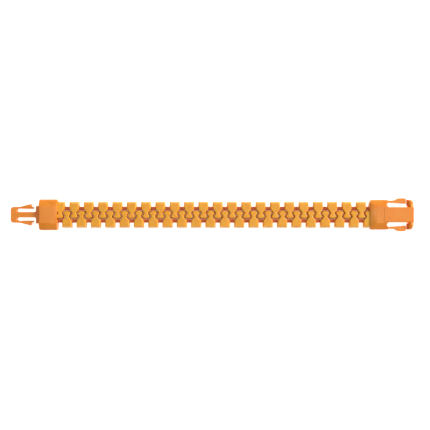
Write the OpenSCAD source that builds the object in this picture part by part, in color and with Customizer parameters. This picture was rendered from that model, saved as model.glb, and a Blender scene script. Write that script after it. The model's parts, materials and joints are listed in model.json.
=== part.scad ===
// A strap of interlocking moulded teeth on two cords, closed by a side-release clasp.
// +X runs from the plug to the socket, +Z is up, and the clasp rests on Z = 0.

/* [Strap] */
// Distance between neighbouring teeth of one row
pitch = 7.5; // [7.3:0.1:8.5]
// Teeth in each of the two rows
teeth_per_row = 22; // [4:1:24]
// Width of a tooth's head along the strap
head_w = 5.45; // [5:0.05:5.8]
// Overall width of the strap
strap_w = 13.72; // [13:0.1:15]
// Thickness of a tooth
tooth_t = 5.2; // [4:0.1:5.2]
// Width of a tooth's neck on its face
neck_w = 1.5; // [1.3:0.1:1.6]
// Greatest width of a tooth's inner nub on its face
nub_w = 3.7; // [3.3:0.1:3.7]
// How far the nub reaches past the centreline
nub_reach = 1.97; // [1.8:0.01:2]
// How far a tooth's sides flare out between its face and its mid-plane
flare = 0.4; // [0.25:0.05:0.4]

/* [Cords] */
// Diameter of each cord
cord_d = 1.8; // [1.2:0.1:2]
// Distance of each cord from the centreline
cord_y = 3.3; // [3.2:0.05:3.6]
// Radial clearance between a cord and a tooth's bore
cord_gap = 0.05; // [0.03:0.01:0.1]

/* [Clasp] */
// Thickness of both clasp halves
clasp_t = 8; // [7.8:0.1:10]
// Length of the collar that holds the strap's end
collar_l = 9.54; // [9.5:0.1:12]
// Width of the collar
collar_w = 16.1; // [16:0.1:18]
// Length of the plug's tongue
tongue_l = 14.77; // [14.5:0.01:15]
// Width of the socket's block
block_w = 15.6; // [15.5:0.1:17]
// Length of the socket's block
block_l = 8.95; // [8.9:0.05:11]
// Length of the plates and flange beyond the block
throat_l = 14.08; // [14:0.02:14.2]
// Width of the top and bottom plates
plate_w = 7.84; // [7:0.02:8]
// Width of the mouth
mouth_w = 9.5; // [9.3:0.05:9.6]
// Height of the mouth
mouth_h = 4.8; // [4.7:0.05:4.9]
// Thickness of the end flange
flange_l = 3.32; // [3:0.02:3.4]
// Height of the release levers
lever_h = 4.6; // [4:0.1:4.6]

/* [Hidden] */
$fn = 48;
eps = 0.01;
mid_z = clasp_t / 2;
flat_half = 4.3;
row_l = (teeth_per_row - 0.5) * pitch;
tooth_to_collar = 1.27;
tooth_to_block = 0.5;
total_l = tongue_l + collar_l + tooth_to_collar + row_l + tooth_to_block + block_l + throat_l;
tip_x = -total_l / 2;
collar_x = tip_x + tongue_l;
collar_end_x = collar_x + collar_l;
first_x = collar_end_x + tooth_to_collar;
last_x = first_x + row_l;
block_x = last_x + tooth_to_block;
face_x = block_x + block_l;
mouth_x = total_l / 2;
flange_x = mouth_x - flange_l;

// Recesses that hold the strap's end teeth, and the chambers of the cord stops
tooth_gap = 0.05;
seat_depth = 0.15;
stop_r = 1.5;
stop_l = 2;
chamber_gap = 0.15;
cord_hole_r = cord_d / 2 + 0.15;
plug_stop_x = collar_x + 3.9;
socket_stop_x = block_x + 3.5;

// Spring arms of the plug
arm_half_h = 2;
arm_y = 3.7;
arm_root_x = tip_x + 3.28;
arm_r = 0.6;
nose_l = 3.45;
nose_half = 4.13;
post_half = 1.4;
pilot_l = 1.7;
pilot_half = 4.6;

// Release levers of the socket
lever_y = 6.9;
lever_root_x = face_x - 0.2;
lever_r = 0.55;
knuckle_gap = 0.06;

function two_digits(n) = str(n < 10 ? "0" : "", n);

// ---- shapes that repeat ----

function mirrored(side) = [for (i = [len(side) - 1:-1:0]) [-side[i][0], side[i][1]]];

// Outline of a tooth's face from its nub up to its outer edge, right-hand side
function tooth_side() = [
    [0.8, 0.25 - nub_reach],
    [nub_w / 2 - 0.13, -1.12],
    [nub_w / 2, -0.85],
    [neck_w / 2, 0.68],
    [neck_w / 2, 1],
    [head_w / 2 - flare - 0.13, 2.75],
    [head_w / 2 - flare, 3.05],
    [head_w / 2 - flare, strap_w / 2 - 0.76],
    [head_w / 2 - flare - 0.23, strap_w / 2 - 0.53]];

// How far each edge of that outline lies further out at mid-plane, from the nub's end on
function side_flare() = [0.25, 0.25, 0.35, flare, flare, 0.35, 0.35, flare, 0.45];
function tooth_flare() = concat(
    [for (i = [1:len(side_flare()) - 1]) side_flare()[i]], [0.53],
    [for (i = [len(side_flare()) - 1:-1:1]) side_flare()[i]], [side_flare()[0]]);

// Outward direction of an edge, and the corner between two edges that have moved outward
function outward(a, b) = [b[1] - a[1], a[0] - b[0]] / norm(b - a);
function moved_corner(p, n, d, m, e) =
    p + [d * m[1] - e * n[1], e * n[0] - d * m[0]] / (n[0] * m[1] - n[1] * m[0]);
function flared(face, out) = let (n = len(face)) [
    for (i = [0:n - 1]) let (before = (i + n - 1) % n, after = (i + 1) % n)
        moved_corner(face[i], outward(face[before], face[i]), out[before],
                     outward(face[i], face[after]), out[i])];
function at_height(points, z) = [for (p = points) [p[0], p[1], z]];

// A tooth of the upper row, widest at mid-plane, with its cord bore
module tooth() {
    face = concat(tooth_side(), mirrored(tooth_side()));
    n = len(face);
    difference() {
        polyhedron(
            points = concat(at_height(face, mid_z - tooth_t / 2),
                            at_height(flared(face, tooth_flare()), mid_z),
                            at_height(face, mid_z + tooth_t / 2)),
            faces = concat(
                [for (i = [0:n / 2 - 2]) [i, i + 1, n - 2 - i, n - 1 - i]],
                [for (row = [0, n], i = [0:n - 1])
                    let (j = (i + 1) % n) [row + i, row + n + i, row + n + j, row + j]],
                [for (i = [0:n / 2 - 2]) [3 * n - 1 - i, 3 * n - 2 - i, 2 * n + i + 1, 2 * n + i]]));
        translate([-head_w, cord_y, mid_z]) along_x(2 * head_w, cord_d / 2 + cord_gap);
    }
}

module upper_tooth(k) {
    translate([first_x + (k - 1) * pitch, 0, 0]) tooth();
}

module lower_tooth(k) {
    translate([first_x + (k - 0.5) * pitch, 0, 0]) mirror([0, 1, 0]) tooth();
}

// A round bar along X, from the origin
module along_x(l, r) {
    rotate([0, 90, 0]) cylinder(h = l, r = r);
}

// Both sides of the centreline
module both_sides() {
    children();
    mirror([0, 1, 0]) children();
}

// A box between two corners
module block_between(low, high) {
    translate(low) cube(high - low);
}

// A slab centred on the mid-plane, from an outline in plan
module slab(half_h) {
    translate([0, 0, mid_z - half_h]) linear_extrude(2 * half_h) children();
}

// Clasp section: flat top and bottom, sloping shoulders, upright sides
module clasp_bar(x0, l, w) {
    side = [[flat_half, clasp_t], [w / 2 - 0.8, mid_z + 2.75], [w / 2, mid_z + 1.9],
            [w / 2, mid_z - 1.9], [w / 2 - 0.8, mid_z - 2.75], [flat_half, 0]];
    translate([x0, 0, 0]) rotate([90, 0, 90]) linear_extrude(l)
        polygon(concat(side, mirrored(side)));
}

// The parts of a shape below or above the mid-plane
module lower_half() {
    intersection() {
        children();
        block_between([-total_l, -collar_w, -clasp_t], [total_l, collar_w, mid_z]);
    }
}

module upper_half() {
    intersection() {
        children();
        block_between([-total_l, -collar_w, mid_z], [total_l, collar_w, 2 * clasp_t]);
    }
}

// Chamber of a pair of cord stops, and the holes that the cords come in by
module stop_chambers(x0, hole_x0, hole_x1) {
    both_sides() {
        translate([x0 - chamber_gap, cord_y, mid_z])
            along_x(stop_l + 2 * chamber_gap, stop_r + chamber_gap);
        translate([hole_x0, cord_y, mid_z]) along_x(hole_x1 - hole_x0, cord_hole_r);
    }
}

module cord_stops(x0) {
    both_sides() translate([x0, cord_y, mid_z]) difference() {
        along_x(stop_l, stop_r);
        translate([-eps, 0, 0]) along_x(stop_l + 2 * eps, cord_d / 2 + 0.03);
    }
}

module cord(side) {
    translate([plug_stop_x, side * cord_y, mid_z])
        along_x(socket_stop_x + stop_l - plug_stop_x, cord_d / 2);
}

// Recess for the half of an end tooth that sits in a clasp half, toward +Y
module tooth_seat(x0, x1) {
    block_between([x0, -nub_reach - tooth_gap, mid_z - tooth_t / 2 - tooth_gap],
                  [x1, strap_w / 2 + tooth_gap, mid_z + tooth_t / 2 + tooth_gap]);
}

// ---- plug ----

module collar_shell() {
    difference() {
        intersection() {
            clasp_bar(collar_x, collar_l, collar_w);
            slab(clasp_t) polygon([
                [collar_x, -flat_half], [collar_x + 0.5, 0.7 - collar_w / 2],
                [collar_x + 1.1, -collar_w / 2], [collar_end_x - 0.4, -collar_w / 2],
                [collar_end_x, 0.6 - collar_w / 2], [collar_end_x, collar_w / 2 - 0.6],
                [collar_end_x - 0.4, collar_w / 2], [collar_x + 1.1, collar_w / 2],
                [collar_x + 0.5, collar_w / 2 - 0.7], [collar_x, flat_half]]);
        }
        tooth_seat(first_x - head_w / 2 - seat_depth, collar_end_x + eps);
        stop_chambers(plug_stop_x, plug_stop_x, collar_end_x + eps);
    }
}

// Nose, centre post and pilot
module tongue() {
    nose_end = tip_x + nose_l;
    difference() {
        slab(2.2) polygon([
            [tip_x, -2.9], [tip_x + 0.35, -3.7], [tip_x + 1.2, -nose_half],
            [nose_end, -nose_half], [nose_end, nose_half],
            [tip_x + 1.2, nose_half], [tip_x + 0.35, 3.7], [tip_x, 2.9]]);
        both_sides() translate([arm_root_x, arm_y, 0]) cylinder(h = clasp_t, r = arm_r + knuckle_gap);
    }
    block_between([nose_end - 0.5, -post_half, mid_z - 1.9],
                  [collar_x - pilot_l + 0.5, post_half, mid_z + 1.9]);
    block_between([collar_x - pilot_l, -pilot_half, mid_z - 2.3],
                  [collar_x, pilot_half, mid_z + 2.3]);
}

module plug_base() {
    color("darkorange") {
        lower_half() collar_shell();
        tongue();
    }
}

module plug_cover() {
    color("orange") upper_half() collar_shell();
}

// Swept-back spring arm with its barb, on the +Y side
module plug_arm() {
    x0 = arm_root_x;
    shoulder = collar_x - 3.74;
    slab(arm_half_h) {
        polygon([
            [x0, arm_y - arm_r + 0.1], [shoulder + 0.99, 3.1], [shoulder + 0.99, 4.15],
            [shoulder, 4.3], [shoulder, 5.42], [shoulder - 0.45, 5.57],
            [shoulder - 3.1, 4.85], [x0, arm_y + arm_r]]);
        translate([x0, arm_y]) circle(r = arm_r);
    }
}

module plug_arm_upper() {
    color("orangered") plug_arm();
}

module plug_arm_lower() {
    color("orangered") mirror([0, 1, 0]) plug_arm();
}

module plug_cord_stops() {
    color("tomato") cord_stops(plug_stop_x);
}

// ---- socket ----

module socket_shell() {
    difference() {
        union() {
            socket_block();
            block_between([face_x - 1, -plate_w / 2, 0], [mouth_x, plate_w / 2, clasp_t]);
            socket_flange();
        }
        block_between([face_x - 1, -mouth_w / 2, mid_z - mouth_h / 2],
                      [mouth_x + eps, mouth_w / 2, mid_z + mouth_h / 2]);
        mirror([0, 1, 0]) tooth_seat(block_x - eps, last_x + head_w / 2 + seat_depth);
        stop_chambers(socket_stop_x, block_x - eps, socket_stop_x + stop_l);
        both_sides() translate([lever_root_x, lever_y, mid_z - lever_h / 2 - knuckle_gap])
            cylinder(h = lever_h + 2 * knuckle_gap, r = lever_r + knuckle_gap);
    }
}

// Block with its sloping end toward the strap
module socket_block() {
    end_half = tooth_t / 2 + 0.55;
    intersection() {
        clasp_bar(block_x, block_l, block_w);
        slab(clasp_t) polygon([
            [block_x, -5], [block_x + 1.2, 0.5 - block_w / 2], [block_x + 1.9, -block_w / 2],
            [face_x, -block_w / 2], [face_x, block_w / 2],
            [block_x + 1.9, block_w / 2], [block_x + 1.2, block_w / 2 - 0.5], [block_x, 5]]);
        translate([0, block_w, 0]) rotate([90, 0, 0]) linear_extrude(2 * block_w) polygon([
            [block_x, mid_z - end_half], [block_x + 3.2, 0], [face_x, 0],
            [face_x, clasp_t], [block_x + 3.2, clasp_t], [block_x, mid_z + end_half]]);
    }
}

// Flange around the mouth, with its outer corners cut back
module socket_flange() {
    w = block_w + 0.1;
    intersection() {
        clasp_bar(flange_x, flange_l, w);
        slab(clasp_t) polygon([
            [flange_x, -w / 2], [mouth_x - 1.3, -w / 2], [mouth_x - 0.5, 1.2 - w / 2],
            [mouth_x, 3 - w / 2], [mouth_x, w / 2 - 3], [mouth_x - 0.5, w / 2 - 1.2],
            [mouth_x - 1.3, w / 2], [flange_x, w / 2]]);
    }
}

module socket_base() {
    color("darkorange") lower_half() socket_shell();
}

module socket_cover() {
    color("orange") upper_half() socket_shell();
}

// Side lever with its thumb bump, on the +Y side
module release_lever() {
    x0 = lever_root_x;
    tip = flange_x - 0.6;
    slab(lever_h / 2) {
        polygon([
            [x0, lever_y - lever_r], [tip, 5.72], [tip, 7.7], [tip - 0.8, 8.5],
            [tip - 2.3, 8.68], [tip - 4.3, 8.6], [tip - 6.2, 7.6], [x0, lever_y + lever_r]]);
        translate([x0, lever_y]) circle(r = lever_r);
    }
}

module release_lever_upper() {
    color("orangered") release_lever();
}

module release_lever_lower() {
    color("orangered") mirror([0, 1, 0]) release_lever();
}

module socket_cord_stops() {
    color("tomato") cord_stops(socket_stop_x);
}

// ---- cords ----

module upper_cord() {
    color("salmon") cord(1);
}

module lower_cord() {
    color("salmon") cord(-1);
}

plug_base();
plug_cover();
plug_arm_upper();
plug_arm_lower();
plug_cord_stops();
socket_base();
socket_cover();
release_lever_upper();
release_lever_lower();
socket_cord_stops();
upper_cord();
lower_cord();
for (k = [1:teeth_per_row])
    color("orange") upper_tooth(k);
for (k = [1:teeth_per_row])
    color("orange") lower_tooth(k);
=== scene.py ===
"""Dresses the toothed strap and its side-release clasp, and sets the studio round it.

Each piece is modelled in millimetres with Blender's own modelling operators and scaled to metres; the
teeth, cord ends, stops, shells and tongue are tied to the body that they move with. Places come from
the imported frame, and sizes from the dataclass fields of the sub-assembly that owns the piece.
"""

from __future__ import annotations

import json
import logging
import math
from dataclasses import dataclass
from enum import Enum
from typing import Callable, Sequence

import bmesh
import bpy
from mathutils import Matrix, Vector

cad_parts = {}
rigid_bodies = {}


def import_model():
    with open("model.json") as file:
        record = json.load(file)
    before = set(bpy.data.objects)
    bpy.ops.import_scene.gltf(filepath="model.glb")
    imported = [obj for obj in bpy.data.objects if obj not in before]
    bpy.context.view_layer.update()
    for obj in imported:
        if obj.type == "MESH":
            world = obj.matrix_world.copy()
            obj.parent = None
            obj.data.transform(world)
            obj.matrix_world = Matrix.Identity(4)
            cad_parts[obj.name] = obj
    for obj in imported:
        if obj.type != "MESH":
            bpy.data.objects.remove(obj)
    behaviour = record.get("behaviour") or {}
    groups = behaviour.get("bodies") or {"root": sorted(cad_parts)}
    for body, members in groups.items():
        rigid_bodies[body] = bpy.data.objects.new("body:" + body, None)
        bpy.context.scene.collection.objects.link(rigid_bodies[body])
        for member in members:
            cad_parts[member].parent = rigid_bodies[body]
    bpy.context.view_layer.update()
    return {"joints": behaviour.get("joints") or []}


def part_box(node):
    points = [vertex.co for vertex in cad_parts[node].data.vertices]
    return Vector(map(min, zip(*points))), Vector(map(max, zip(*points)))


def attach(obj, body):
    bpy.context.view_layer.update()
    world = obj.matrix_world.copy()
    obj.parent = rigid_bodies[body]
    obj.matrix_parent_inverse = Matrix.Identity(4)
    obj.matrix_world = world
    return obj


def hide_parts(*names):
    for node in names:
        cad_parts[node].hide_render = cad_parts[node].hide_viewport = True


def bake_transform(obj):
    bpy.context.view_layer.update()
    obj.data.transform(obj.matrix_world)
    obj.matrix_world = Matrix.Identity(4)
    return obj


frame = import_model()

logging.basicConfig(level=logging.INFO, format="%(name)s: %(message)s")
log = logging.getLogger("strap")

MM = 0.001
Point = tuple[float, float]
Place = tuple[float, float, float]


# ---------------------------------------------------------------- modelling


def corners(node: str) -> tuple[Vector, Vector]:
    """The lowest and highest corners of a CAD node at rest, in millimetres.

    Args:
        node: name of the CAD node.

    Returns:
        The two corners.
    """
    low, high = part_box(node)
    return Vector(low) / MM, Vector(high) / MM


def arc(centre: Point, radius: float, start: float, end: float, steps: int = 8) -> list[Point]:
    """Points along a circular arc.

    Args:
        centre: centre of the circle.
        radius: radius of the circle.
        start: first angle, in degrees.
        end: last angle, in degrees.
        steps: number of chords.

    Returns:
        steps + 1 points, both ends included.
    """
    turns = [math.radians(start + (end - start) * i / steps) for i in range(steps + 1)]
    return [(centre[0] + radius * math.cos(t), centre[1] + radius * math.sin(t)) for t in turns]


def both_sides(side: Sequence[Point]) -> list[Point]:
    """Closes an outline that is the same on both sides of the X axis.

    Args:
        side: the points on the +Y side, in order.

    Returns:
        Those points, then their mirror images in reverse order.
    """
    return list(side) + [(x, -y) for x, y in reversed(side)]


def flipped(points: Sequence[Point]) -> list[Point]:
    """The mirror image of an outline across the X axis."""
    return [(x, -y) for x, y in points]


def activate(obj: bpy.types.Object) -> None:
    """Makes an object the active one and the only one selected."""
    bpy.ops.object.select_all(action="DESELECT")
    obj.select_set(True)
    bpy.context.view_layer.objects.active = obj


def edit(obj: bpy.types.Object) -> None:
    """Opens an object in edit mode with all of it selected."""
    activate(obj)
    bpy.ops.object.mode_set(mode="EDIT")
    bpy.ops.mesh.select_mode(type="VERT")
    bpy.ops.mesh.select_all(action="SELECT")


def leave() -> None:
    """Closes edit mode."""
    bpy.ops.object.mode_set(mode="OBJECT")


def named(name: str) -> bpy.types.Object:
    """Names the object that an operator has just added, applies its place and returns it."""
    obj = bpy.context.object
    obj.name = obj.data.name = name
    bpy.ops.object.transform_apply(location=True, rotation=True, scale=True)
    return obj


def outlined(name: str, points: Sequence[Place]) -> bpy.types.Object:
    """Draws a closed outline vertex by vertex and fills it. It stays open in edit mode.

    Args:
        name: name of the new object.
        points: the outline, all in one plane.

    Returns:
        The new flat face.
    """
    bpy.ops.object.select_all(action="DESELECT")
    bpy.ops.mesh.primitive_plane_add(size=1, location=points[0])
    obj = named(name)
    edit(obj)
    bpy.ops.mesh.merge(type="CENTER")
    for here, there in zip(points, points[1:]):
        step = Vector(there) - Vector(here)
        bpy.ops.mesh.extrude_region_move(TRANSFORM_OT_translate={"value": step})
    bpy.ops.mesh.select_all(action="SELECT")
    bpy.ops.mesh.edge_face_add()
    return obj


def drawn(name: str, points: Sequence[Place], pull: Place) -> bpy.types.Object:
    """Draws a closed outline and extrudes it into a solid.

    Args:
        name: name of the new object.
        points: the outline, all in one plane.
        pull: the extrusion, as a vector.

    Returns:
        The new solid.
    """
    obj = outlined(name, points)
    bpy.ops.mesh.extrude_region_move(TRANSFORM_OT_translate={"value": pull})
    bpy.ops.mesh.select_all(action="SELECT")
    bpy.ops.mesh.normals_make_consistent(inside=False)
    leave()
    return obj


def lofted(name: str, lower: Sequence[Place], upper: Sequence[Place]) -> bpy.types.Object:
    """A solid between two outlines that have as many points as each other.

    Args:
        name: name of the new object.
        lower: the lower outline.
        upper: the upper outline.

    Returns:
        The new solid.
    """
    rim = outlined("rim", upper)
    leave()
    obj = outlined(name, lower)
    leave()
    rim.select_set(True)
    bpy.ops.object.join()
    edit(obj)
    bpy.ops.mesh.delete(type="ONLY_FACE")
    bpy.ops.mesh.select_all(action="SELECT")
    bpy.ops.mesh.bridge_edge_loops()
    for level in (lower[0][2], upper[0][2]):
        bpy.ops.mesh.select_all(action="DESELECT")
        mesh = bmesh.from_edit_mesh(obj.data)
        for vert in mesh.verts:
            vert.select_set(abs(vert.co.z - level) < 1e-5)
        bmesh.update_edit_mesh(obj.data)
        bpy.ops.mesh.edge_face_add()
    bpy.ops.mesh.select_all(action="SELECT")
    bpy.ops.mesh.normals_make_consistent(inside=False)
    leave()
    return obj


def pick_faces(obj: bpy.types.Object, chosen: Callable[[Vector], bool]) -> None:
    """Selects the faces that a test picks by their centres, in edit mode."""
    bpy.ops.mesh.select_mode(type="FACE")
    bpy.ops.mesh.select_all(action="DESELECT")
    mesh = bmesh.from_edit_mesh(obj.data)
    for face in mesh.faces:
        if chosen(face.calc_center_median()):
            face.select_set(True)
    bmesh.update_edit_mesh(obj.data)


def slab(name: str, outline: Sequence[Point], low: float, high: float) -> bpy.types.Object:
    """A solid with a plan outline, between two heights."""
    return drawn(name, [(x, y, low) for x, y in outline], (0, 0, high - low))


def bar_across(name: str, section: Sequence[Point], half_w: float) -> bpy.types.Object:
    """A solid with an outline in X and Z, centred across the strap."""
    return drawn(name, [(x, -half_w, z) for x, z in section], (0, 2 * half_w, 0))


def block(name: str, low: Place, high: Place) -> bpy.types.Object:
    """A box between two corners."""
    size = Vector(high) - Vector(low)
    bpy.ops.object.select_all(action="DESELECT")
    bpy.ops.mesh.primitive_cube_add(size=1, location=(Vector(low) + Vector(high)) / 2, scale=size)
    return named(name)


def rod(name: str, start: Place, length: float, radius: float, sides: int = 32) -> bpy.types.Object:
    """A round bar along +X from a point."""
    bpy.ops.object.select_all(action="DESELECT")
    bpy.ops.mesh.primitive_cylinder_add(
        vertices=sides,
        radius=radius,
        depth=length,
        location=(start[0] + length / 2, start[1], start[2]),
        rotation=(0, math.pi / 2, 0),
    )
    return named(name)


def pebble(name: str, centre: Place, radii: Place) -> bpy.types.Object:
    """An ellipsoid, for a shallow oval mark."""
    bpy.ops.object.select_all(action="DESELECT")
    bpy.ops.mesh.primitive_uv_sphere_add(
        segments=32, ring_count=16, radius=1, location=centre, scale=radii
    )
    return named(name)


def sliced(obj: bpy.types.Object, point: Place, normal: Place) -> None:
    """Cuts off what lies beyond a plane and closes the cut.

    Args:
        obj: the solid.
        point: a point on the plane.
        normal: the direction of what is removed.
    """
    edit(obj)
    away = Vector(normal).normalized()
    bpy.ops.mesh.bisect(plane_co=point, plane_no=away, use_fill=True, clear_outer=True)
    leave()


def applied(obj: bpy.types.Object, kind: str, **settings: object) -> None:
    """Adds a modifier to an object and applies it.

    Args:
        obj: the object.
        kind: the modifier's type.
        settings: the modifier's properties.
    """
    activate(obj)
    modifier = obj.modifiers.new(kind.lower(), kind)
    for key, value in settings.items():
        setattr(modifier, key, value)
    bpy.ops.object.modifier_apply(modifier=modifier.name)


def rounded(obj: bpy.types.Object, width: float, segments: int = 3, angle: float = 24) -> None:
    """Rounds every edge of a solid that is sharper than an angle, in degrees."""
    applied(
        obj,
        "BEVEL",
        width=width,
        segments=segments,
        limit_method="ANGLE",
        angle_limit=math.radians(angle),
    )


def combined(obj: bpy.types.Object, operation: str, others: Sequence[bpy.types.Object]) -> None:
    """Joins solids to an object or cuts them from it, and removes them.

    Args:
        obj: the object that changes.
        operation: UNION or DIFFERENCE.
        others: the solids.
    """
    for other in others:
        applied(obj, "BOOLEAN", operation=operation, solver="EXACT", object=other)
        bpy.data.objects.remove(other, do_unlink=True)


def copied(obj: bpy.types.Object, name: str, matrix: Matrix) -> bpy.types.Object:
    """A copy with a mesh of its own, moved by a matrix."""
    twin = obj.copy()
    twin.data = obj.data.copy()
    twin.name = twin.data.name = name
    bpy.context.scene.collection.objects.link(twin)
    twin.data.transform(matrix)
    return twin


def turned_over(height: float) -> Matrix:
    """Half a turn about the strap's long axis at a height."""
    up = Matrix.Translation((0, 0, height))
    return up @ Matrix.Rotation(math.pi, 4, "X") @ up.inverted()


def polished(obj: bpy.types.Object, smooth_angle: float = 38) -> None:
    """Cleans a finished solid, shades it and scales it from millimetres to metres.

    Args:
        obj: the solid.
        smooth_angle: edges sharper than this, in degrees, stay sharp.
    """
    edit(obj)
    bpy.ops.mesh.remove_doubles(threshold=0.002)
    bpy.ops.mesh.dissolve_degenerate(threshold=0.001)
    bpy.ops.mesh.normals_make_consistent(inside=False)
    leave()
    activate(obj)
    obj.scale = (MM, MM, MM)
    bpy.ops.object.transform_apply(location=True, rotation=True, scale=True)
    bpy.ops.object.shade_smooth_by_angle(angle=math.radians(smooth_angle))
    applied(obj, "WEIGHTED_NORMAL", keep_sharp=True, weight=50)


# ---------------------------------------------------------------- finishes


class Graph:
    """A material's node tree, built by short calls."""

    def __init__(self, name: str) -> None:
        """Starts a new material with one shader in it."""
        self.material = bpy.data.materials.new(name)
        self.material.use_nodes = True
        self.tree = self.material.node_tree
        self.shader = self.tree.nodes["Principled BSDF"]

    def add(
        self, kind: str, inputs: dict[str, object] | None = None, **settings: object
    ) -> bpy.types.Node:
        """Adds a node.

        Args:
            kind: the node's type, without the ShaderNode prefix.
            inputs: values or output sockets for its inputs, by name or index.
            settings: the node's own properties.

        Returns:
            The new node.
        """
        node = self.tree.nodes.new("ShaderNode" + kind)
        for key, value in settings.items():
            setattr(node, key, value)
        for key, value in (inputs or {}).items():
            if isinstance(value, bpy.types.NodeSocket):
                self.tree.links.new(value, node.inputs[key])
            else:
                node.inputs[key].default_value = value
        return node

    def noise(
        self, where: bpy.types.NodeSocket, scale: float, detail: float = 2
    ) -> bpy.types.NodeSocket:
        """A noise pattern of a given number of features a metre."""
        node = self.add("TexNoise", {"Vector": where, "Scale": scale, "Detail": detail})
        return node.outputs["Fac"]

    def span(
        self, value: bpy.types.NodeSocket, low: float, high: float, to: Point
    ) -> bpy.types.NodeSocket:
        """Maps a range of a value to another range."""
        node = self.add("MapRange", {0: value, 1: low, 2: high, 3: to[0], 4: to[1]})
        return node.outputs[0]

    def math(self, operation: str, *values: object) -> bpy.types.NodeSocket:
        """One arithmetic step."""
        return self.add("Math", dict(enumerate(values)), operation=operation).outputs[0]

    def mixed(
        self, amount: bpy.types.NodeSocket, first: object, second: object
    ) -> bpy.types.NodeSocket:
        """A mix of two colours."""
        node = self.add("Mix", {0: amount, 6: first, 7: second}, data_type="RGBA")
        return node.outputs[2]

    def bumped(
        self, height: bpy.types.NodeSocket, depth: float, strength: float, under: object = None
    ) -> bpy.types.NodeSocket:
        """A bump of a real depth in metres, over another one if that is given."""
        inputs = {"Height": height, "Distance": depth, "Strength": strength}
        if under is not None:
            inputs["Normal"] = under
        return self.add("Bump", inputs).outputs["Normal"]

    def finish(self, **sockets: object) -> bpy.types.Material:
        """Sets the shader's sockets and returns the material."""
        for key, value in sockets.items():
            name = key.replace("_", " ")
            if isinstance(value, bpy.types.NodeSocket):
                self.tree.links.new(value, self.shader.inputs[name])
            else:
                self.shader.inputs[name].default_value = value
        return self.material


@dataclass(frozen=True)
class MouldedPlastic:
    """Satin injection-moulded plastic with flow marks, fine speckle and a spark-eroded grain."""

    name: str
    colour: Place
    shade: Place
    pale: Place
    roughness: Point
    flow_scale: float
    speckle_scale: float
    speckle: float
    grain_scale: float
    grain_depth: float
    parting_height: float | None = None

    def material(self) -> bpy.types.Material:
        """Builds the material."""
        graph = Graph(self.name)
        where = graph.add("TexCoord").outputs["Object"]
        flow = graph.noise(where, self.flow_scale, 3)
        speckle = graph.noise(where, self.speckle_scale, 3)
        grain = graph.noise(where, self.grain_scale, 2)
        tone = graph.mixed(graph.span(flow, 0.32, 0.68, (0, 1)), (*self.shade, 1), (*self.colour, 1))
        fleck = graph.span(speckle, 0.46, 0.72, (0, self.speckle))
        tone = graph.mixed(fleck, tone, (*self.pale, 1))
        pits = graph.span(speckle, 0.28, 0.42, (self.speckle * 0.6, 0))
        tone = graph.mixed(pits, tone, (*self.shade, 1))
        rough = graph.span(speckle, 0.3, 0.7, self.roughness)
        normal = graph.bumped(flow, 30 * self.grain_depth, 0.25)
        normal = graph.bumped(grain, self.grain_depth, 0.6, normal)
        if self.parting_height is not None:
            normal = self.parting_line(graph, where, normal)
        return graph.finish(
            Base_Color=tone,
            Roughness=rough,
            Normal=normal,
            IOR=1.49,
            Subsurface_Weight=0.4,
            Subsurface_Radius=(0.0020, 0.0006, 0.0001),
            Subsurface_Scale=1.0,
        )

    def parting_line(
        self, graph: Graph, where: bpy.types.NodeSocket, under: bpy.types.NodeSocket
    ) -> bpy.types.NodeSocket:
        """A fine raised line where the mould's two halves met."""
        height = graph.add("SeparateXYZ", {0: where}).outputs["Z"]
        away = graph.math("ABSOLUTE", graph.math("SUBTRACT", height, self.parting_height * MM))
        line = graph.span(away, 0.02 * MM, 0.09 * MM, (1, 0))
        return graph.bumped(line, 0.03 * MM, 0.8, under)


@dataclass(frozen=True)
class ElasticCord:
    """Round elastic cord with a tight braided cover that follows the piece's UV map."""

    name: str
    colour: Place
    shade: Place
    strands: int
    turns: int

    def material(self) -> bpy.types.Material:
        """Builds the material."""
        graph = Graph(self.name)
        split = graph.add("SeparateXYZ", {0: graph.add("UVMap").outputs["UV"]})
        around = graph.math("MULTIPLY", split.outputs["X"], self.strands)
        along = graph.math("MULTIPLY", split.outputs["Y"], self.turns)
        crossings = [
            graph.math("SINE", graph.math("MULTIPLY", graph.math(way, around, along), 2 * math.pi))
            for way in ("ADD", "SUBTRACT")
        ]
        weave = graph.span(graph.math("MAXIMUM", *crossings), -0.4, 1, (0, 1))
        fuzz = graph.noise(graph.add("TexCoord").outputs["Object"], 9000, 2)
        tone = graph.mixed(weave, (*self.shade, 1), (*self.colour, 1))
        tone = graph.mixed(graph.span(fuzz, 0.4, 0.8, (0, 0.25)), tone, (*self.shade, 1))
        normal = graph.bumped(weave, 0.05 * MM, 0.55)
        normal = graph.bumped(fuzz, 0.01 * MM, 0.4, normal)
        return graph.finish(
            Base_Color=tone,
            Roughness=graph.span(weave, 0, 1, (0.6, 0.42)),
            Normal=normal,
            IOR=1.5,
            Subsurface_Weight=0.1,
            Subsurface_Radius=(0.001, 0.0004, 0.0002),
            Subsurface_Scale=1.0,
        )


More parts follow.
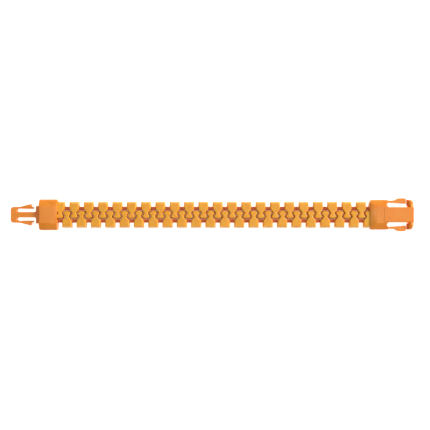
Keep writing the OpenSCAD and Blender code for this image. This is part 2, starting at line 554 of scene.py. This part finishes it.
TOOTH_FINISH = MouldedPlastic(
    name="tooth_plastic",
    colour=(0.85, 0.385, 0.010),
    shade=(0.81, 0.320, 0.005),
    pale=(0.90, 0.510, 0.060),
    roughness=(0.42, 0.56),
    flow_scale=420,
    speckle_scale=3600,
    speckle=0.55,
    grain_scale=15000,
    grain_depth=0.006 * MM,
    parting_height=4,
)
CLASP_FINISH = MouldedPlastic(
    name="clasp_plastic",
    colour=(0.84, 0.285, 0.020),
    shade=(0.81, 0.250, 0.014),
    pale=(0.88, 0.330, 0.036),
    roughness=(0.36, 0.46),
    flow_scale=140,
    speckle_scale=5200,
    speckle=0.22,
    grain_scale=21000,
    grain_depth=0.003 * MM,
)
STOP_FINISH = MouldedPlastic(
    name="stop_plastic",
    colour=(0.72, 0.22, 0.04),
    shade=(0.66, 0.18, 0.03),
    pale=(0.80, 0.28, 0.06),
    roughness=(0.45, 0.6),
    flow_scale=300,
    speckle_scale=4000,
    speckle=0.3,
    grain_scale=16000,
    grain_depth=0.005 * MM,
)
CORD_FINISH = ElasticCord(
    name="cord_elastic",
    colour=(0.80, 0.210, 0.045),
    shade=(0.68, 0.105, 0.012),
    strands=8,
    turns=4,
)


class Slot(Enum):
    """The record's material slots."""

    TOOTH = "tooth_plastic"
    CLASP = "clasp_plastic"
    CORD = "cord_elastic"
    STOP = "stop_plastic"


MATERIALS = {
    Slot.TOOTH: TOOTH_FINISH.material(),
    Slot.CLASP: CLASP_FINISH.material(),
    Slot.CORD: CORD_FINISH.material(),
    Slot.STOP: STOP_FINISH.material(),
}


def handed_over(obj: bpy.types.Object, slot: Slot, *nodes: str) -> bpy.types.Object:
    """Gives a finished piece the material of its slot, and hides the CAD nodes that it stands for.

    Args:
        obj: the piece.
        slot: its material slot.
        nodes: the CAD nodes that it replaces.

    Returns:
        The piece.
    """
    obj.data.materials.clear()
    obj.data.materials.append(MATERIALS[slot])
    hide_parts(*nodes)
    log.info("%s: %d faces, for %s", obj.name, len(obj.data.polygons), ", ".join(nodes))
    return obj


# ---------------------------------------------------------------- strap

CORD_Y = 3.3  # how far each cord runs from the centreline


class Row(Enum):
    """The two rows of teeth, by the side of the centreline that they stand on."""

    UPPER = 1
    LOWER = -1

    @property
    def word(self) -> str:
        """The row's name in the names of its pieces."""
        return self.name.lower()


class Chain:
    """The bodies of the strap in order, and the hinges between them."""

    def __init__(self, joints: Sequence[dict]) -> None:
        """Reads the link joints.

        Args:
            joints: the frame's joints.
        """
        links = sorted((j for j in joints if j["name"].startswith("link_")), key=lambda j: j["name"])
        self.bodies = [links[0]["parent"]] + [j["child"] for j in links]
        self.hinges = [j["pos_m"][0] / MM for j in links]
        self.height = links[0]["pos_m"][2] / MM
        self.quarter = (self.hinges[1] - self.hinges[0]) / 2

    def row_of(self, index: int) -> Row:
        """The row of the tooth on a body."""
        return Row.LOWER if index % 2 else Row.UPPER


@dataclass
class Teeth:
    """Two rows of interlocking teeth, drafted both ways from a ridge at mid-height.

    Half widths and distances from the centreline come in pairs, the ridge's and then the face's.
    """

    chain: Chain
    tip_half: Point = (1.40, 0.82)
    tip_y: Point = (-2.32, -1.72)
    nub_half: Point = (2.38, 1.86)
    nub_y: Point = (-0.96, -0.97)
    neck_half: Point = (1.31, 0.74)
    neck_y: float = 0.94
    head_draft: float = 0.42
    head_y: Point = (3.0, 3.05)
    outer_draft: float = 0.8
    edge: float = 0.3
    bore_y: float = CORD_Y
    bore_radius: float = 0.95

    def outline(self, face: int, height: float) -> list[Place]:
        """The tooth's outline at a height.

        Args:
            face: 0 on the ridge and 1 on the face.
            height: its Z.

        Returns:
            The whole outline, anticlockwise from the nub.
        """
        low, high = corners("tooth_upper_02")
        side = (high.x - low.x) / 2 - face * self.head_draft
        half = [
            (self.tip_half[face], self.tip_y[face]),
            (self.nub_half[face], self.nub_y[face]),
            (self.neck_half[face], self.neck_y),
            (side, self.head_y[face]),
            (side, high.y - face * self.outer_draft),
        ]
        return [(x, y, height) for x, y in half + [(-x, y) for x, y in reversed(half)]]

    def pattern(self) -> bpy.types.Object:
        """Models one tooth of the upper row, centred on X = 0 and Z = 0."""
        low, high = corners("tooth_upper_02")
        top = (high.z - low.z) / 2
        tooth = lofted("tooth_pattern", self.outline(0, 0), self.outline(1, top))
        edit(tooth)
        pick_faces(tooth, lambda centre: centre.z < 1e-4)
        bpy.ops.mesh.delete(type="ONLY_FACE")
        leave()
        rounded(tooth, self.edge)
        applied(tooth, "MIRROR", use_axis=(False, False, True), merge_threshold=0.002)
        edit(tooth)
        bpy.ops.mesh.normals_make_consistent(inside=False)
        leave()
        bore = rod("bore", (-4, self.bore_y, 0), 8, self.bore_radius)
        combined(tooth, "DIFFERENCE", [bore])
        return tooth

    def build(self) -> None:
        """Copies the pattern to every place in both rows."""
        pattern = self.pattern()
        over = Matrix.Rotation(math.pi, 4, "X")
        for index, body in enumerate(self.chain.bodies):
            row = self.chain.row_of(index)
            node = f"tooth_{row.word}_{index // 2 + 1:02d}"
            low, high = corners(node)
            place = Matrix.Translation(((low.x + high.x) / 2, 0, self.chain.height))
            turn = over if row is Row.LOWER else Matrix.Identity(4)
            tooth = copied(pattern, f"{node}_moulding", place @ turn)
            polished(tooth)
            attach(handed_over(tooth, Slot.TOOTH, node), body)
        bpy.data.objects.remove(pattern, do_unlink=True)


@dataclass
class Cords:
    """Two round cords that thread the teeth."""

    chain: Chain
    offset: float = CORD_Y
    radius: float = 0.9
    sides: int = 24
    rings: int = 10
    head_overhang: float = 0.85

    def length_of(
        self, name: str, start: float, length: float, side: int, rings: int
    ) -> bpy.types.Object:
        """A stretch of cord made of rings, with its braid's UV map.

        Args:
            name: name of the piece.
            start: X of its first end.
            length: its length.
            side: 1 for the upper cord and -1 for the lower one.
            rings: number of steps along it.

        Returns:
            The stretch, in millimetres.
        """
        bpy.ops.object.select_all(action="DESELECT")
        bpy.ops.mesh.primitive_circle_add(
            vertices=self.sides,
            radius=self.radius,
            fill_type="NGON",
            location=(start, side * self.offset, self.chain.height),
            rotation=(0, math.pi / 2, 0),
        )
        obj = named(name)
        edit(obj)
        bpy.ops.mesh.duplicate()
        step = (length / rings, 0, 0)
        for _ in range(rings):
            bpy.ops.mesh.extrude_region_move(TRANSFORM_OT_translate={"value": step})
        bpy.ops.mesh.select_all(action="SELECT")
        bpy.ops.mesh.remove_doubles(threshold=0.001)
        bpy.ops.mesh.normals_make_consistent(inside=False)
        leave()
        self.unwrapped(obj, start, side)
        return obj

    def unwrapped(self, obj: bpy.types.Object, start: float, side: int) -> None:
        """Lays the UV map: once round the cord, and one unit for each half pitch along it."""
        layer = obj.data.uv_layers.new(name="braid")
        half_pitch = 2 * self.chain.quarter
        for face in obj.data.polygons:
            turns = []
            for loop in face.loop_indices:
                spot = obj.data.vertices[obj.data.loops[loop].vertex_index].co
                turn = math.atan2(spot.z - self.chain.height, spot.y - side * self.offset)
                turns.append(turn / (2 * math.pi) % 1)
            wraps = max(turns) - min(turns) > 0.5
            for loop, turn in zip(face.loop_indices, turns):
                spot = obj.data.vertices[obj.data.loops[loop].vertex_index].co
                around = turn + 1 if wraps and turn < 0.5 else turn
                layer.data[loop].uv = (around, (spot.x - start) / half_pitch)

    def link(self, row: Row, number: int) -> None:
        """Lays one cord across one hinge.

        Args:
            row: the cord's row.
            number: the hinge, counted from 0.
        """
        hinge, quarter = self.chain.hinges[number], self.chain.quarter
        piece = self.length_of(
            f"{row.word}_cord_{number + 1:02d}", hinge - quarter, 2 * quarter, row.value, self.rings
        )
        polished(piece)
        handed_over(piece, Slot.CORD, f"{row.word}_cord")
        head_first = self.chain.row_of(number) is row
        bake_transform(piece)

    def end(self, row: Row, name: str, start: float, finish: float, body: str) -> None:
        """Lays the stretch that runs into a clasp half."""
        rings = max(1, round((finish - start) / (2 * self.chain.quarter)))
        piece = self.length_of(f"{row.word}_cord_{name}", start, finish - start, row.value, rings)
        polished(piece)
        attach(handed_over(piece, Slot.CORD, f"{row.word}_cord"), body)

    def build(self) -> None:
        """Lays both cords from stop to stop."""
        for row in Row:
            low, high = corners(f"{row.word}_cord")
            first = self.chain.hinges[0] - self.chain.quarter
            last = self.chain.hinges[-1] + self.chain.quarter
            self.end(row, "plug_end", low.x, first, self.chain.bodies[0])
            for number in range(len(self.chain.hinges)):
                self.link(row, number)
            self.end(row, "socket_end", last, high.x, self.chain.bodies[-1])


@dataclass
class CordStops:
    """The moulded stops on the cords' ends, closed inside the clasp."""

    chain: Chain
    radius: float = 1.5
    bore_radius: float = 0.93
    offset: float = CORD_Y
    edge: float = 0.3

    def build(self) -> None:
        """Models the four stops."""
        for half, body in (("plug", self.chain.bodies[0]), ("socket", self.chain.bodies[-1])):
            node = f"{half}_cord_stops"
            low, high = corners(node)
            for row in Row:
                start = (low.x, row.value * self.offset, self.chain.height)
                stop = rod(f"{half}_stop_{row.word}", start, high.x - low.x, self.radius)
                rounded(stop, self.edge)
                mouth = (low.x - 1, *start[1:])
                bore = rod("bore", mouth, high.x - low.x + 2, self.bore_radius)
                combined(stop, "DIFFERENCE", [bore])
                polished(stop)
                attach(handed_over(stop, Slot.STOP, node), body)


# ---------------------------------------------------------------- clasp


@dataclass
class ClaspShell:
    """What the collar and the socket share: shouldered half shells that meet at mid-height."""

    chain: Chain
    flat_half: float = 4.3
    shoulder_drop: float = 1.25
    shoulder_in: float = 0.8
    side_half_h: float = 1.9
    skirt: float = 1.5
    hole_radius: float = 1.05
    pocket_radius: float = 1.65
    end_play: float = 0.15
    seat_inner: float = -2.4
    seat_play: float = 0.05
    seat_draft: Point = (0.8, 1.05)

    def half_shell(
        self,
        name: str,
        outline: Sequence[Point],
        top: float,
        half_w: float,
        edge: float,
        slopes: Sequence[tuple[Place, Place]] = (),
    ) -> bpy.types.Object:
        """Models the upper half of a shouldered shell, solid.

        Args:
            name: name of the piece.
            outline: its plan.
            top: height of its flat top.
            half_w: half its width.
            edge: width of its rounded edges.
            slopes: further planes that cut it, each a point and a normal.

        Returns:
            The half shell, from mid-height up.
        """
        mid = self.chain.height
        shell = slab(name, outline, mid - self.skirt, top)
        inner, turn = self.flat_half, half_w - self.shoulder_in
        turn_z = top - self.shoulder_drop
        side_z = mid + self.side_half_h
        for side in (1, -1):
            sliced(shell, (0, side * inner, top), (0, side * self.shoulder_drop, turn - inner))
            sliced(shell, (0, side * turn, turn_z), (0, side * (turn_z - side_z), half_w - turn))
        rounded(shell, edge, angle=12)
        for point, normal in slopes:
            sliced(shell, point, normal)
        return shell

    def parted(self, shell: bpy.types.Object) -> None:
        """Cuts a half shell off at mid-height."""
        sliced(shell, (0, 0, self.chain.height), (0, 0, -1))

    def chambers(self, start: float, finish: float, stops: str) -> list[bpy.types.Object]:
        """Cutters for the cords' holes and the pockets of their stops.

        Args:
            start: X where the holes begin.
            finish: X where the holes end.
            stops: the CAD node of the stops.

        Returns:
            The cutters.
        """
        low, high = corners(stops)
        cutters = []
        for row in Row:
            y, z = row.value * CORD_Y, self.chain.height
            pocket_l = high.x - low.x + 2 * self.end_play
            cutters.append(rod("hole", (start, y, z), finish - start, self.hole_radius))
            cutters.append(rod("pocket", (low.x - self.end_play, y, z), pocket_l, self.pocket_radius))
        return cutters

    def seat(self, start: float, finish: float, side: int) -> bpy.types.Object:
        """A cutter for the recess that holds half of an end tooth, narrower at its faces.

        Args:
            start: X where the recess begins.
            finish: X where it ends.
            side: 1 for a tooth of the upper row and -1 for one of the lower row.

        Returns:
            The cutter.
        """
        low, high = corners("tooth_upper_01")
        play, inner, (across, up) = self.seat_play, self.seat_inner, self.seat_draft
        bottom, top, outer = low.z - play, high.z + play, high.y + play
        section = [
            (inner, bottom), (outer - across, bottom), (outer, bottom + up),
            (outer, top - up), (outer - across, top), (inner, top),
        ]
        return drawn("seat", [(start, side * y, z) for y, z in section], (finish - start, 0, 0))


@dataclass
class Plug(ClaspShell):
    """The collar, and the tongue with its nose, post, pilot and two spring arms."""

    collar_edge: float = 0.38
    mark_at: Place = (-4.1, 6.0, -0.36)
    mark_radii: Place = (1.25, 0.75, 0.5)
    nose_half: float = 4.13
    nose_half_h: float = 2.2
    nose_corner: float = 1.45
    nose_edge: float = 0.42
    post_half: float = 1.4
    post_fillet: float = 0.8
    slot_end: float = 2.95
    slot_outer: float = 3.1
    pilot_l: float = 1.7
    pilot_half: float = 4.6
    pilot_half_h: float = 2.0
    arm_half_h: float = 2.0
    strip_drop: float = 0.15
    arm_y: float = 3.7
    arm_bend: Point = (0.5, 3.5)

    def collar(self) -> None:
        """Models the collar's two shells."""
        low, high = corners("plug_cover")
        x0, x1, half = low.x, high.x, high.y
        outline = both_sides([
            (x0, 3.9), (x0 + 0.1, half - 1.1), *arc((x0 + 0.8, half - 0.7), 0.7, 170, 90, 4),
            (x1 - 0.25, half), (x1, half - 0.25),
        ])
        lip = [((x1 - 1.5, 0, high.z), (0.3, 0, 1.5)), ((x0 + 0.45, 0, high.z), (-0.5, 0, 0.5))]
        cover = self.half_shell("plug_collar_cover", outline, high.z, half, self.collar_edge, lip)
        self.parted(cover)
        base = copied(cover, "plug_collar_base", turned_over(self.chain.height))
        seat_x = corners("tooth_upper_01")[0].x - self.end_play
        stops_x = corners("plug_cord_stops")[0].x
        for shell in (cover, base):
            seat = self.seat(seat_x, x1 + 1, 1)
            chambers = self.chambers(stops_x, x1 + 1, "plug_cord_stops")
            combined(shell, "DIFFERENCE", [seat, *chambers])
        back, aside, sunk = self.mark_at
        mark = pebble("mark", (x1 + back, aside, high.z + sunk), self.mark_radii)
        combined(cover, "DIFFERENCE", [mark])
        for shell, node in ((cover, "plug_cover"), (base, "plug_base")):
            polished(shell)
            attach(handed_over(shell, Slot.CLASP, node), self.chain.bodies[0])

    def tongue(self) -> None:
        """Models the nose, the centre post and the pilot as one solid."""
        tip, face = corners("plug_base")[0].x, corners("plug_cover")[0].x
        mid, half = self.chain.height, self.nose_half
        corner, fillet = self.nose_corner, self.post_fillet
        slot_r = (self.slot_outer - self.post_half) / 2
        slot = (tip + self.slot_end + slot_r, self.post_half + slot_r)
        pilot_x = face - self.pilot_l
        outline = both_sides([
            (tip, 2.5), *arc((tip + corner, half - corner), corner, 168, 96, 5),
            (tip + 2.6, half + 0.04), (tip + 3.9, half + 0.02),
            (slot[0] + 0.15, half - 0.22), (slot[0] + 0.15, self.slot_outer),
            *arc(slot, slot_r, 90, 270, 10), (pilot_x - 0.7, self.post_half),
            *arc((pilot_x - 0.7, self.post_half + fillet), fillet, 270, 360, 5),
            (pilot_x + 0.8, self.post_half + fillet),
        ])
        nose = slab("plug_tongue", outline, mid - self.nose_half_h, mid + self.nose_half_h)
        rounded(nose, self.nose_edge, segments=4)
        pilot = block(
            "pilot",
            (pilot_x, -self.pilot_half, mid - self.pilot_half_h),
            (face + 0.6, self.pilot_half, mid + self.pilot_half_h),
        )
        rounded(pilot, 0.35)
        combined(nose, "UNION", [pilot])
        polished(nose)
        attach(handed_over(nose, Slot.CLASP, "plug_base"), self.chain.bodies[0])

    def arm(self, row: Row, joint: dict) -> None:
        """Models a spring arm with its barb, from its root in the nose.

        Args:
            row: the side that it is on.
            joint: its joint.
        """
        node = f"plug_arm_{row.word}"
        root, tail = joint["pos_m"][0] / MM, corners(node)[1].x - 0.3
        shoulder = tail - 1.1
        mid = self.chain.height
        strip = [
            (root - 0.1, 3.25), (tail - 3, 3.1), (tail, 3.12), (tail, 4.02), (shoulder - 3, 4.35),
            (root + 2.5, 4.27), (root - 0.1, 4.1),
        ]
        barb = [
            (root + 1.6, 3.8), (shoulder, 3.9), (shoulder, 5.4), (shoulder - 0.42, 5.56),
            (shoulder - 2.6, 5.0), (root + 2.2, 4.36),
        ]
        turned = (lambda points: points) if row is Row.UPPER else flipped
        low, high = mid - self.arm_half_h, mid + self.arm_half_h
        arm = slab(f"{node}_spring", turned(strip), low + self.strip_drop, high - self.strip_drop)
        rounded(arm, 0.26)
        wedge = slab("barb", turned(barb), low, high)
        rounded(wedge, 0.2)
        combined(arm, "UNION", [wedge])
        polished(arm)
        handed_over(arm, Slot.CLASP, node)
        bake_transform(arm)

    def build(self, joints: dict[str, dict]) -> None:
        """Models the whole plug.

        Args:
            joints: the frame's joints, by name.
        """
        self.collar()
        self.tongue()
        for row in Row:
            self.arm(row, joints[f"clasp_arm_{row.word}"])


@dataclass
class Socket(ClaspShell):
    """The block, the two plates, the flange round the mouth and the release levers.

    The block's rolled end is a row of slopes. Each one has its reach from the end, its drop from the
    top, and its tilt in radians.
    """

    block_edge: float = 0.34
    rolled_end: tuple[Place, ...] = (
        (3.9, 0, 0.12), (3.1, 0.10, 0.22), (2.3, 0.28, 0.32), (1.5, 0.54, 0.40), (0.12, 1.13, 0.7),
    )
    plate_half: float = 3.92
    plate_t: float = 1.6
    plate_edge: float = 0.42
    mouth_half: float = 4.75
    flange_l: float = 3.32
    flange_wide: float = 0.05
    gable_h: float = 3.1
    gable_half: float = 3.9
    step: float = 0.1
    mark_at: Place = (0.85, -2.0, 0.12)
    mark_radii: Place = (1.2, 0.62, 0.22)
    lever_half_h: float = 2.3
    lever_inner: float = 6.33
    lever_outer: float = 7.45
    lever_nose: float = 0.75
    bump_back: float = 6.3
    bump_rise: float = 2.6
    lever_y: float = 6.9
    lever_bend: Point = (1.4, 4.5)

    def block_half(self, x0: float, face: float, half: float, top: float) -> bpy.types.Object:
        """Models the upper half of the block with its rolled end and the roots of the levers.

        Args:
            x0: X of its end on the strap's side.
            face: X of its face on the mouth's side.
            half: half its width.
            top: height of the plate's top.

        Returns:
            The half block.
        """
        slot_r = (self.lever_inner - self.plate_half) / 2
        centre = (face + slot_r, self.plate_half + slot_r)
        outline = both_sides([
            (x0, 5.2), (x0 + 0.42, half - 1.0), *arc((x0 + 1.2, half - 0.75), 0.75, 165, 90, 4),
            (face - 0.6, half), (face + 1.0, half - 0.25),
        ])
        flat = top - self.step
        slopes = [
            ((x0 + reach, 0, flat - drop), (-math.sin(tilt), 0, math.cos(tilt)))
            for reach, drop, tilt in self.rolled_end
        ]
        shell = self.half_shell("socket_cover_shell", outline, flat, half, self.block_edge, slopes)
        slot = [
            *arc(centre, slot_r, 90, 270, 14), (face + 3, self.plate_half),
            (face + 3, self.lever_inner),
        ]
        for points in (slot, flipped(slot)):
            combined(shell, "DIFFERENCE", [slab("slot", points, -1, top + 1)])
        return shell

    def flange_half(self, mouth: float, half: float, top: float) -> bpy.types.Object:
        """Models the upper half of the gabled flange across the mouth, with its corners cut back.

        Args:
            mouth: X of the mouth.
            half: half its width.
            top: height of the plate's top.

        Returns:
            The half flange.
        """
        x0, bottom = mouth - self.flange_l, self.chain.height - self.skirt
        section = [
            (x0, bottom), (x0, top - self.gable_h), (x0 + 1.45, top - 0.25), (x0 + 1.9, top - 0.25),
            (mouth, top - 0.95), (mouth, bottom),
        ]
        flange = bar_across("flange", section, half)
        for side in (1, -1):
            sliced(flange, (0, side * self.gable_half, top + 0.05), (0, side * 0.95, self.gable_h))
            sliced(flange, (0, side * (half - 0.7), top - 1.2), (0, side * 1.1, 0.8))
            sliced(flange, (mouth, side * (half - 2.5), 0), (2.4, side * 0.93, 0))
            sliced(flange, (mouth - 1.25, side * half, 0), (0.5, side * 0.7, 0))
        rounded(flange, 0.3, angle=14)
        return flange

    def shells(self) -> None:
        """Models the socket's two shells."""
        low, high = corners("socket_cover")
        x0, mouth, top = low.x, high.x, high.z
        face = corners("release_lever_upper")[0].x + 0.75
        mid, half = self.chain.height, high.y - self.flange_wide
        cover = self.block_half(x0, face, half, top)
        outline = both_sides([
            (face - 1.6, self.plate_half - 0.5), (face - 1.1, self.plate_half),
            (mouth, self.plate_half),
        ])
        plate = slab("plate", outline, mid + 1, top)
        rounded(plate, self.plate_edge)
        combined(cover, "UNION", [plate, self.flange_half(mouth, half + self.flange_wide, top)])
        self.parted(cover)
        base = copied(cover, "socket_base_shell", turned_over(mid))
        seat_x = corners("tooth_lower_22")[1].x + self.end_play
        stops_x = corners("socket_cord_stops")[1].x
        for shell in (cover, base):
            cavity = block(
                "cavity",
                (face - 1, -self.mouth_half, mid - top / 2 + self.plate_t),
                (mouth + 1, self.mouth_half, mid + top / 2 - self.plate_t),
            )
            seat = self.seat(x0 - 1, seat_x, -1)
            chambers = self.chambers(x0 - 1, stops_x, "socket_cord_stops")
            combined(shell, "DIFFERENCE", [cavity, seat, *chambers])
        along, aside, raised = self.mark_at
        mark = pebble("mark", (face + along, aside, top + raised), self.mark_radii)
        combined(cover, "DIFFERENCE", [mark])
        for shell, node in ((cover, "socket_cover"), (base, "socket_base")):
            polished(shell)
            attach(handed_over(shell, Slot.CLASP, node), self.chain.bodies[-1])

    def lever(self, row: Row, joint: dict) -> None:
        """Models a release lever with its thumb bump, from its root in the block.

        Args:
            row: the side that it is on.
            joint: its joint.
        """
        node = f"release_lever_{row.word}"
        low, high = corners(node)
        root, tip = joint["pos_m"][0] / MM, high.x
        peak = high.y if row is Row.UPPER else -low.y
        back, swell, radius = self.bump_back, peak - 0.06 - self.lever_outer, self.lever_nose
        bump = [
            (tip - back + self.bump_rise * t, self.lever_outer + swell * t * t * (3 - 2 * t))
            for t in (i / 8 for i in range(9))
        ]
        outline = [
            (root + 0.5, self.lever_inner + 0.06), (tip - 0.3, 5.74), (tip, 5.95),
            *arc((tip - radius, peak - 0.85), radius, 0, 75, 5), (tip - 1.9, peak), *reversed(bump),
            (root + 0.5, self.lever_outer - 0.08),
        ]
        points = outline if row is Row.UPPER else flipped(outline)
        mid = self.chain.height
        lever = slab(f"{node}_spring", points, mid - self.lever_half_h, mid + self.lever_half_h)
        rounded(lever, 0.36, segments=4, angle=30)
        polished(lever)
        handed_over(lever, Slot.CLASP, node)
        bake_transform(lever)

    def build(self, joints: dict[str, dict]) -> None:
        """Models the whole socket.

        Args:
            joints: the frame's joints, by name.
        """
        self.shells()
        for row in Row:
            self.lever(row, joints[f"clasp_lever_{row.word}"])


# ---------------------------------------------------------------- studio


@dataclass
class Studio:
    """A pale floor, soft light from the upper right and a camera straight above."""

    height: float = 0.55
    view_width: float = 0.2248
    focus_z: float = 0.0055
    aim: Point = (0.0015, -0.00015)
    floor_size: float = 6
    floor_glow: float = 0.74
    sky_light: float = 0.30
    sky_seen: float = 0.95

    def camera(self) -> None:
        """Adds the camera."""
        data = bpy.data.cameras.new("overhead")
        data.sensor_fit = "HORIZONTAL"
        data.angle = 2 * math.atan(self.view_width / 2 / self.height)
        camera = bpy.data.objects.new("overhead", data)
        camera.location = (*self.aim, self.height + self.focus_z)
        bpy.context.scene.collection.objects.link(camera)
        bpy.context.scene.camera = camera

    def floor(self) -> None:
        """Adds the floor."""
        bpy.ops.object.select_all(action="DESELECT")
        bpy.ops.mesh.primitive_plane_add(size=self.floor_size, location=(0, 0, 0))
        floor = bpy.context.object
        floor.name = "floor"
        graph = Graph("pale_paper")
        where = graph.add("TexCoord").outputs["Object"]
        tone = graph.mixed(graph.noise(where, 40), (0.93, 0.93, 0.93, 1), (0.95, 0.95, 0.95, 1))
        floor.data.materials.append(
            graph.finish(
                Base_Color=tone,
                Roughness=0.9,
                Emission_Color=(1, 1, 1, 1),
                Emission_Strength=self.floor_glow,
            )
        )

    def lamp(self, name: str, place: Place, size: float, power: float) -> None:
        """Adds a square lamp that faces the strap's middle.

        Args:
            name: name of the lamp.
            place: its place, in metres.
            size: length of its side, in metres.
            power: its power, in watts.
        """
        data = bpy.data.lights.new(name, "AREA")
        data.shape = "SQUARE"
        data.size = size
        data.energy = power
        lamp = bpy.data.objects.new(name, data)
        lamp.location = place
        lamp.rotation_euler = (-Vector(place)).to_track_quat("-Z", "Y").to_euler()
        bpy.context.scene.collection.objects.link(lamp)

    def sky(self) -> None:
        """Adds a white world that gives less light than the camera sees in it."""
        world = bpy.data.worlds.new("studio")
        world.use_nodes = True
        tree = world.node_tree
        background = tree.nodes["Background"]
        background.inputs["Color"].default_value = (1, 1, 1, 1)
        seen = tree.nodes.new("ShaderNodeLightPath").outputs["Is Camera Ray"]
        strength = tree.nodes.new("ShaderNodeMapRange")
        strength.inputs[3].default_value = self.sky_light
        strength.inputs[4].default_value = self.sky_seen
        tree.links.new(seen, strength.inputs[0])
        tree.links.new(strength.outputs[0], background.inputs["Strength"])
        bpy.context.scene.world = world

    def build(self) -> None:
        """Sets up the whole studio."""
        bpy.context.scene.view_settings.view_transform = "Standard"
        self.sky()
        self.camera()
        self.floor()
        self.lamp("key", (2.0, 0.7, 0.95), 0.8, 63)
        self.lamp("fill", (0.08, 0.1, 1.2), 0.4, 3.0)


# ---------------------------------------------------------------- assembly


def main() -> None:
    """Builds the studio and every piece of the strap, in order."""
    joints = {joint["name"]: joint for joint in frame["joints"]}
    chain = Chain(frame["joints"])
    Studio().build()
    Teeth(chain).build()
    Cords(chain).build()
    CordStops(chain).build()
    Plug(chain).build(joints)
    Socket(chain).build(joints)


if __name__ == "__main__":
    main()
